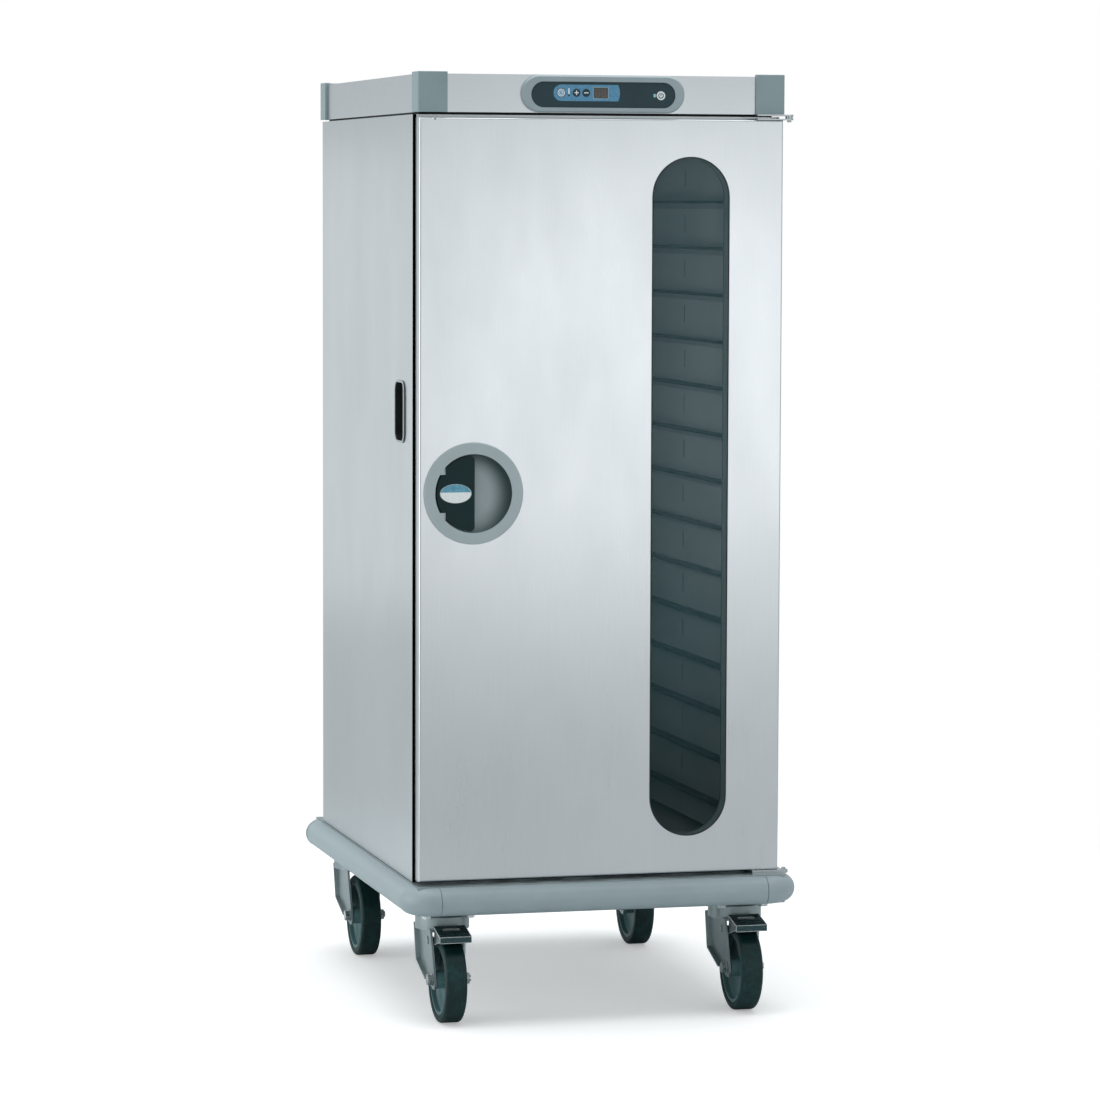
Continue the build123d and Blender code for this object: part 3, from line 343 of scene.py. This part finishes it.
def pane_seal():
    """Window seal: black lip outside, grey spacer between the panes."""
    look = Look("window_seal")
    lo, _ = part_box("window_gasket")
    spacer = look.behind(lo.y, LIP_DEPTH)
    pores = look.cells(900)
    tone = look.span(pores, 0.1, 0.6)
    black = look.blend(tone, rgb("0c1011"), rgb("1a2123"))
    grey = look.blend(tone, rgb("5d6d70"), rgb("6f8083"))
    look.colour(look.blend(spacer, black, grey))
    look.rough(look.span(pores, 0.1, 0.6, 0.5, 0.7))
    look.bump(pores, 0.00005, 0.3)
    return look.material


def tyre_look():
    """Polyurethane tread: smooth with fine scuffs along the way it rolls and floor dust in the middle."""
    look = Look("tyre_tread", Specular_IOR_Level=0.3)
    scuffs = look.noise(420, 3, 0.6, (1.0, 0.25, 0.25))
    dust = look.noise(26, 5, 0.65)
    both = look.mixed(scuffs, 0.4, dust, 0.6)
    look.colour(look.blend(look.span(both, 0.42, 0.72), rgb("062526"), rgb("1b4243")))
    look.rough(look.span(both, 0.3, 0.7, 0.38, 0.6))
    look.bump(scuffs, 0.00012, 0.4)
    return look.material


def smoked_glass():
    """Tinted pane with a painted reflection: paler higher up, darker towards its lower end."""
    look = Look("smoked_pane", Metallic=0.0, IOR=1.5, Alpha=0.18, Specular_IOR_Level=0.22)
    film = look.noise(7, 4, 0.6, (1.0, 1.0, 0.5))
    height = look.math("ADD", look.axis("Z"), look.math("MULTIPLY", film, 0.06))
    # Painted reflection: the tint grows paler with height.
    look.colour(look.blend(look.span(height, 0.36, 0.8), rgb("08292d"), rgb("3d6167")))
    look.rough(look.span(film, 0.3, 0.7, 0.04, 0.11))
    return look.material


def wool():
    """Mineral wool, with painted shade on its uppermost face, where it shows dark through gaps."""
    look = Look("mineral_wool")
    _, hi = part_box("insulation")
    fibres = look.noise(500, 4, 0.7, (1, 1, 0.2))
    top_shade = look.span(look.axis("Z"), *[hi.z - depth for depth in TOP_SHADE_DEPTH])
    tone = look.span(fibres, 0.3, 0.7)
    plain = look.blend(tone, rgb("9c8a4c"), rgb("cdbb7d"))
    dark = look.blend(tone, rgb("101617"), rgb("1b2325"))
    # Painted shade: the wool's top face is dark where gaps show it.
    look.colour(look.blend(top_shade, plain, dark))
    look.rough(look.span(fibres, 0.3, 0.7, 0.8, 0.95))
    look.bump(fibres, 0.001, 0.6)
    return look.material


def circuit():
    """Printed board: green lacquer over fine tracks."""
    look = Look("circuit_green")
    tracks = look.cells(240, stretch=(1, 1, 3))
    look.colour(look.blend(look.span(tracks, 0.2, 0.5), rgb("1d4a35"), rgb("2f6a4c")))
    look.rough(look.span(tracks, 0.2, 0.6, 0.3, 0.5))
    look.bump(tracks, 0.0001, 0.3)
    return look.material


def grip_look():
    """Side grip: pale satin rim outside, black cup inside."""
    look = Look("grip_moulding")
    _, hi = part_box("side_grips")
    inside = look.span(look.math("ABSOLUTE", look.axis("X")), *[hi.x - depth for depth in RIM_DEPTH])
    texture = look.cells(1300)
    tone = look.span(texture, 0.1, 0.6)
    pale = look.blend(tone, rgb("8b989b"), rgb("a9b4b6"))
    black = look.blend(tone, rgb("0b1112"), rgb("1a2426"))
    look.colour(look.blend(inside, pale, black))
    look.rough(look.span(texture, 0.1, 0.6, 0.35, 0.5))
    look.bump(texture, 0.00008, 0.4)
    return look.material


def dress(look_material, *names):
    """Gives CAD nodes a material."""
    for name in names:
        slots = nodes[name].material_slots
        if len(slots) == 0:
            nodes[name].data.materials.append(look_material)
        for slot in slots:
            slot.material = look_material


def dress_all():
    casters = ("front_left", "front_right", "rear_left", "rear_right")
    dress(stainless("stainless_door", "dde0e3", "d5d9dc"), "door_outer_skin")
    dress(stainless("stainless_body", "d0d5d8", "c6cccf"), "rear_panel", "rear_cover", "front_frame",
          "door_inner_skin")
    dress(stainless("stainless_side", "d0d5d8", "c6cccf", gap_shade=True), "side_panel_left", "side_panel_right")
    dress(stainless("stainless_rim", "d6dadd", "cdd2d5", (0.012, 0.012, 1.0)), "rim_fascias", "roof_panel")
    dress(stainless("stainless_cavity", "dfe4e6", "ccd3d6", (1, 0.02, 1), (0.3, 0.42), 0.6),
          "inner_liner", "duct_panel")
    dress(ledge_look(), "runner_panels")
    dress(moulded("cap_plastic", "94a6ab", "879a9f"), "corner_caps")
    dress(cup_look(), "handle_cup")
    dress(moulded("bezel_plastic", "a3b2b7", "97a6ab", (0.35, 0.48)), "control_bezel")
    dress(moulded("bumper_plastic", "a1b0b5", "96a5aa", (0.36, 0.5), 900), "bumper_rails", "bumper_corners")
    dress(moulded("panel_plastic", "243f46", "1a343a", (0.3, 0.42), shine=0.35), "control_panel")
    dress(moulded("paddle_plastic", "0b2d30", "062326", (0.4, 0.55), shine=0.25), "handle_paddle")
    dress(moulded("deck_plastic", "1c2425", "12191a", (0.5, 0.65)), "top_deck", "power_inlet")
    dress(moulded("button_plastic", "22383d", "182b30", (0.32, 0.45)),
          "timer_button", "plus_button", "minus_button", "power_button")
    dress(grip_look(), "side_grips")
    dress(zinc("zinc_frame", "a2aeb0", "939fa1"), "base_frame", "caster_plates",
          *[f"fork_{name}" for name in casters])
    dress(zinc("hinge_steel", "c6cccf", "b8bfc2", 0.95, (0.24, 0.34)),
          "hinge_plates", "hinge_lugs", "strike_plate")
    dress(bright("plated_fasteners"), "fasteners", "latch_hook", *[f"axle_{name}" for name in casters])
    dress(bright("motor_shell", "b4b9bb"), "fan_motor", "fan_impeller")
    dress(bright("element_sheath", "8a8f86"), "heating_element")
    dress(painted_glint_tread(), "brake_pedal_front_left", "brake_pedal_front_right")
    dress(tyre_look(), *[f"tyre_{name}" for name in casters])
    dress(moulded("core_nylon", "5f8083", "4e6e71", (0.38, 0.52), 700),
          *[f"wheel_core_{name}" for name in casters])
    dress(rubber(), "door_gasket")
    dress(pane_seal(), "window_gasket")
    dress(smoked_glass(), "window_panes")
    dress(wool(), "insulation", "door_insulation")
    dress(circuit(), "control_board")


# ---------------------------------------------------------------- flat pieces
def arc(x, z, radius, start=0.0, end=360.0, steps=48, flat=1.0):
    """Points round a circle, or an ellipse of that height share, in degrees from +X towards +Z."""
    turns = [math.radians(start + (end - start) * i / steps) for i in range(steps + (abs(end - start) < 360))]
    return [(x + radius * math.cos(t), z + radius * flat * math.sin(t)) for t in turns]


def rounded(x0, x1, z0, z1, radius, steps=10):
    """Outline of a rectangle with round corners."""
    outline = []
    for x, z, start in ((x1 - radius, z1 - radius, 0), (x0 + radius, z1 - radius, 90),
                        (x0 + radius, z0 + radius, 180), (x1 - radius, z0 + radius, 270)):
        outline += arc(x, z, radius, start, start + 90, steps)
    return outline


def band(x, z, inner, outer, start, end):
    """Outline of a ring's stretch."""
    return arc(x, z, outer, start, end, 40) + arc(x, z, inner, end, start, 40)


def bar(x, z, width, height, turn=0.0):
    """Outline of a rectangle with round ends, turned by degrees about its middle."""
    half, c, s = min(width, height) / 2, math.cos(math.radians(turn)), math.sin(math.radians(turn))
    outline = rounded(-width / 2, width / 2, -height / 2, height / 2, half * 0.95, 6)
    return [(x + c * a - s * b, z + s * a + c * b) for a, b in outline]


def flat_mesh(name, thickness, outlines):
    """A sheet of that thickness in X and Y; inner outlines are holes."""
    curve = bpy.data.curves.new(name, "CURVE")
    curve.dimensions = "2D"
    curve.fill_mode = "BOTH"
    curve.extrude = thickness / 2 * MM
    for outline in outlines:
        spline = curve.splines.new("POLY")
        spline.points.add(len(outline) - 1)
        for point, (x, z) in zip(spline.points, outline):
            point.co = (x * MM, z * MM, 0, 1)
        spline.use_cyclic_u = True
    drawn = bpy.data.objects.new(name + "_outline", curve)
    bpy.context.scene.collection.objects.link(drawn)
    mesh = bpy.data.meshes.new_from_object(drawn.evaluated_get(bpy.context.evaluated_depsgraph_get()))
    bpy.data.objects.remove(drawn)
    bm = bmesh.new()
    bm.from_mesh(mesh)
    bmesh.ops.remove_doubles(bm, verts=bm.verts, dist=1e-6)
    bmesh.ops.dissolve_limit(bm, angle_limit=0.01, verts=bm.verts, edges=bm.edges)
    bm.to_mesh(mesh)
    bm.free()
    mesh.name = name
    return mesh


def cut(name, body, material, front, thickness, *outlines, rounding=0.00015, slot):
    """A flat piece facing the door side, from outlines in X and Z; millimetres, but rounding in metres."""
    mesh = flat_mesh(name, thickness, outlines)
    upright = Matrix.Rotation(math.pi / 2, 4, "X")
    mesh.transform(Matrix.Translation((0, (front + thickness / 2) * MM, 0)) @ upright)
    piece = bpy.data.objects.new(name, mesh)
    bpy.context.scene.collection.objects.link(piece)
    mesh.materials.clear()
    mesh.materials.append(material)
    softened = piece.modifiers.new("rounding", "BEVEL")
    softened.width = rounding
    softened.segments = 2
    softened.limit_method = "ANGLE"
    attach(piece, body)


def centre(node):
    """Middle of a CAD node in millimetres, as (x, z), with the y of its front."""
    lo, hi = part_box(node)
    return (lo.x + hi.x) / 2 / MM, (lo.z + hi.z) / 2 / MM, lo.y / MM


def printed(name, light, dark, rough=(0.3, 0.45)):
    """Ink or foil print: slight mottling and a satin film."""
    look = Look(name)
    mottle = look.noise(240, 4, 0.6)
    look.colour(look.blend(look.span(mottle, 0.3, 0.7), rgb(dark), rgb(light)))
    look.rough(look.span(mottle, 0.3, 0.7, *rough))
    look.bump(mottle, 0.00002, 0.3)
    return look.material


def digit(x, z):
    """Seven strokes of one display digit."""
    across, up = DIGIT_HALF
    level = [bar(x, z + dz, LEVEL_STROKE, STROKE) for dz in (up, 0, -up)]
    upright = [bar(x + dx, z + dz, STROKE, UPRIGHT_STROKE)
               for dz in (up / 2, -up / 2) for dx in (-across, across)]
    return level + upright


def grown(box, by):
    """A box x0, x1, z0, z1 made larger all round."""
    x0, x1, z0, z1 = box
    return x0 - by, x1 + by, z0 - by, z1 + by


def foil_print(face, foil_blue, buttons):
    """Blue foil behind three buttons and the display, with a shallow arc as its right end."""
    left, right, low, high = FOIL
    half = (high - low) / 2
    outline = arc(left + half, FOIL_MIDDLE, half, 90, 270, 24)
    outline += arc(right - FOIL_END_INSET, FOIL_MIDDLE, FOIL_END, -FOIL_END_TURN, FOIL_END_TURN, 12)
    holes = [arc(buttons[name][0], buttons[name][1], radius) for name, radius in FOIL_HOLES]
    cut("control_foil", "cabinet", foil_blue, face - 0.25, 0.25, outline,
        *holes, rounded(*DISPLAY, 1.0), slot="dark_plastic")


def display_prints(face):
    """Surround and film of the display, and two unlit digits."""
    rim_light = printed("display_edge", "a9c2cc", "8fabb6")
    cut("display_surround", "cabinet", rim_light, face - 0.4, 0.4,
        rounded(*grown(DISPLAY, 1.0), 1.4), rounded(*DISPLAY, 0.8), slot="dark_plastic")
    screen = printed("display_film", "4f5551", "434a48", (0.12, 0.2))
    cut("display_film", "cabinet", screen, face + 0.1, 0.3, rounded(*grown(DISPLAY, -0.1), 0.8),
        slot="smoked_glass")
    unlit = printed("display_segments", "7d5a52", "6a4c46", (0.15, 0.25))
    segments = [stroke for x in DIGITS for stroke in digit(x, FOIL_MIDDLE)]
    cut("display_segments", "cabinet", unlit, face - 0.02, INK, *segments,
        rounding=PRINT_EDGE, slot="dark_plastic")


def thermometer_prints(face, white, navy):
    """Symbol beside the timer: a stem and its bulb."""
    x, z = THERMOMETER
    cut("thermometer_mark", "cabinet", white, face - 0.33, INK, bar(x, z + 2.5, 2.6, 11.0),
        rounding=PRINT_EDGE, slot="grey_plastic")
    cut("thermometer_bulb", "cabinet", navy, face - 0.33, INK, arc(x, z - 4.6, 1.9),
        rounding=PRINT_EDGE, slot="dark_plastic")


def power_lamp(face):
    """Small lens left of the power button."""
    lamp = Look("power_lamp", Roughness=0.25)
    lamp.colour(lamp.blend(lamp.span(lamp.noise(900), 0.3, 0.7), rgb("7fb9c9"), rgb("9bd0dc")))
    cut("power_lamp", "cabinet", lamp.material, face - 0.5, 0.8, rounded(*LAMP, 1.4), slot="smoked_glass")


def timer_prints(button, foil_blue, white):
    """Ring, dial and hands of the timer button."""
    x, z, front = button
    cut("timer_face", "timer_button", foil_blue, front - FACE_PROUD, INK, arc(x, z, 6.9), slot="dark_plastic")
    for name, outer, inner in (("timer_symbol", 7.0, 5.4), ("timer_dial", 3.9, 2.9)):
        cut(name, "timer_button", white, front - INK, INK, arc(x, z, outer), arc(x, z, inner),
            rounding=PRINT_EDGE, slot="grey_plastic")
    cut("timer_hands", "timer_button", white, front - INK, INK,
        bar(x, z + 0.9, 0.8, 2.6), bar(x + 0.9, z, 2.4, 0.8), rounding=0.00002, slot="grey_plastic")


def sign_prints(buttons, navy, white):
    """The plus and the minus."""
    for name, turns in (("plus", (0, 90)), ("minus", (0,))):
        x, z, front = buttons[name]
        body = name + "_button"
        cut(name + "_face", body, navy, front - FACE_PROUD, INK, arc(x, z, 6.3), slot="dark_plastic")
        for layer, turn in enumerate(turns):
            cut(f"{name}_symbol_{turn}", body, white, front - INK - layer * CROSSED_LIFT, INK,
                bar(x, z, 8.6, 1.8, turn), rounding=PRINT_EDGE, slot="grey_plastic")


def power_prints(button, white, navy):
    """Broken ring and bar of the power button."""
    x, z, front = button
    cut("power_face", "power_button", white, front - FACE_PROUD, INK, arc(x, z, 8.1), slot="grey_plastic")
    for name, outline in (("power_ring", band(x, z, 3.6, 5.2, 120, 420)),
                          ("power_bar", bar(x, z + 2.6, 1.6, 6.0))):
        cut(name, "power_button", navy, front - INK, INK, outline, rounding=PRINT_EDGE, slot="dark_plastic")


def control_prints():
    """Foil, symbols, display and lamp of the control panel."""
    white = printed("print_white", "f4fafb", "dfe9eb")
    navy = printed("print_navy", "14333f", "0d2935")
    foil_blue = printed("foil_blue", "5e9cc0", "4a86a8")
    face = centre("control_panel")[2]
    buttons = {name: centre(name + "_button") for name in ("timer", "plus", "minus", "power")}
    foil_print(face, foil_blue, buttons)
    display_prints(face)
    thermometer_prints(face, white, navy)
    power_lamp(face)
    timer_prints(buttons["timer"], foil_blue, white)
    sign_prints(buttons, navy, white)
    power_prints(buttons["power"], white, navy)


def handle_badge():
    """A plain oval plate on the paddle, pale blue over white."""
    _, z, front = centre("handle_paddle")
    edge = printed("badge_edge", "cfd9dc", "b9c6ca")
    cut("badge_base", "handle", edge, front - 0.9, 1.0,
        arc(BADGE_X, z, BADGE_HALF, flat=BADGE_FLAT, steps=72), rounding=0.0003, slot="grey_plastic")
    blue = printed("badge_blue", "6fb0c8", "4e93ad")
    white = printed("badge_white", "fbfdfd", "eef4f5")
    left_end = 180 - BADGE_SPLIT
    for name, material, start, end, steps in (("badge_upper", blue, BADGE_SPLIT, left_end, 60),
                                              ("badge_lower", white, left_end, 360 + BADGE_SPLIT, 70)):
        cut(name, "handle", material, front - 1.0, 0.2,
            arc(BADGE_X, z, BADGE_HALF - BADGE_RIM, start, end, steps, BADGE_FLAT),
            rounding=0.00004, slot="grey_plastic")


# ---------------------------------------------------------------- stage
def place_camera():
    data = bpy.data.cameras.new("camera")
    data.sensor_width = 36.0
    data.lens = CAMERA_LENS
    data.clip_end = 50.0
    camera = bpy.data.objects.new("camera", data)
    bpy.context.scene.collection.objects.link(camera)
    yaw, pitch, roll = (math.radians(turn) for turn in CAMERA_TURN)
    camera.location = CAMERA_PLACE
    forward = Vector((math.sin(yaw) * math.cos(pitch), math.cos(yaw) * math.cos(pitch), math.sin(pitch)))
    aim = forward.to_track_quat("-Z", "Y")
    camera.rotation_euler = (aim.to_matrix() @ Matrix.Rotation(roll, 3, "Z")).to_euler()
    bpy.context.scene.camera = camera


def soft_light(name, place, target, size, watts, glossy):
    """A soft box that lights the object and may show in its gloss, but isn't seen itself."""
    data = bpy.data.lights.new(name, "AREA")
    data.shape = "RECTANGLE"
    data.size, data.size_y = size
    data.energy = watts
    lamp = bpy.data.objects.new(name, data)
    lamp.location = place
    lamp.rotation_euler = (Vector(target) - Vector(place)).to_track_quat("-Z", "Y").to_euler()
    lamp.visible_camera = False
    lamp.visible_glossy = glossy
    bpy.context.scene.collection.objects.link(lamp)


def white_room():
    """White behind everything; the gloss shows a grey room, a little lighter behind the object."""
    world = bpy.data.worlds.new("studio")
    world.use_nodes = True
    tree = world.node_tree
    backdrop = tree.nodes["Background"]
    ray = tree.nodes.new("ShaderNodeLightPath").outputs["Is Camera Ray"]
    hue = tree.nodes.new("ShaderNodeMix")
    hue.data_type = "RGBA"
    tree.links.new(ray, hue.inputs["Factor"])
    hue.inputs["A"].default_value = ROOM_TINT
    hue.inputs["B"].default_value = (1, 1, 1, 1)
    tree.links.new(hue.outputs["Result"], backdrop.inputs["Color"])
    split = tree.nodes.new("ShaderNodeSeparateXYZ")
    tree.links.new(tree.nodes.new("ShaderNodeTexCoord").outputs["Generated"], split.inputs[0])
    level = tree.nodes.new("ShaderNodeMapRange")
    level.interpolation_type = "SMOOTHSTEP"
    tree.links.new(split.outputs["Y"], level.inputs["Value"])
    for socket, value in (("From Min", ROOM_TURN[0]), ("From Max", ROOM_TURN[1]),
                          ("To Min", ROOM_FRONT), ("To Max", ROOM_BACK)):
        level.inputs[socket].default_value = value
    pick = tree.nodes.new("ShaderNodeMix")
    tree.links.new(ray, pick.inputs["Factor"])
    tree.links.new(level.outputs["Result"], pick.inputs["A"])
    pick.inputs["B"].default_value = 1.0
    tree.links.new(pick.outputs["Result"], backdrop.inputs["Strength"])
    bpy.context.scene.world = world


def paper_floor():
    """Plain pale disc that glows a little for the camera alone."""
    bm = bmesh.new()
    bmesh.ops.create_circle(bm, cap_ends=True, segments=96, radius=FLOOR_RADIUS)
    mesh = bpy.data.meshes.new("floor")
    bm.to_mesh(mesh)
    floor = bpy.data.objects.new("floor", mesh)
    floor.location.y = FLOOR_SHIFT
    bpy.context.scene.collection.objects.link(floor)
    look = Look("floor_paper", Roughness=0.9)
    seen = look.add("ShaderNodeLightPath").outputs["Is Camera Ray"]
    paper = look.blend(look.noise(3, 3), rgb("f7f7f7"), rgb("fbfbfb"))
    look.colour(look.blend(seen, rgb("dfe4e5"), paper))
    look.feed(look.shader.inputs["Emission Color"], rgb("ffffff"))
    look.feed(look.shader.inputs["Emission Strength"], look.math("MULTIPLY", seen, FLOOR_GLOW))
    floor.data.materials.append(look.material)


def build_stage():
    paper_floor()
    white_room()
    for soft_box in SOFT_BOXES:
        soft_light(*soft_box)
    bpy.context.scene.view_settings.view_transform = "Standard"


dress_all()
control_prints()
handle_badge()
build_stage()
place_camera()
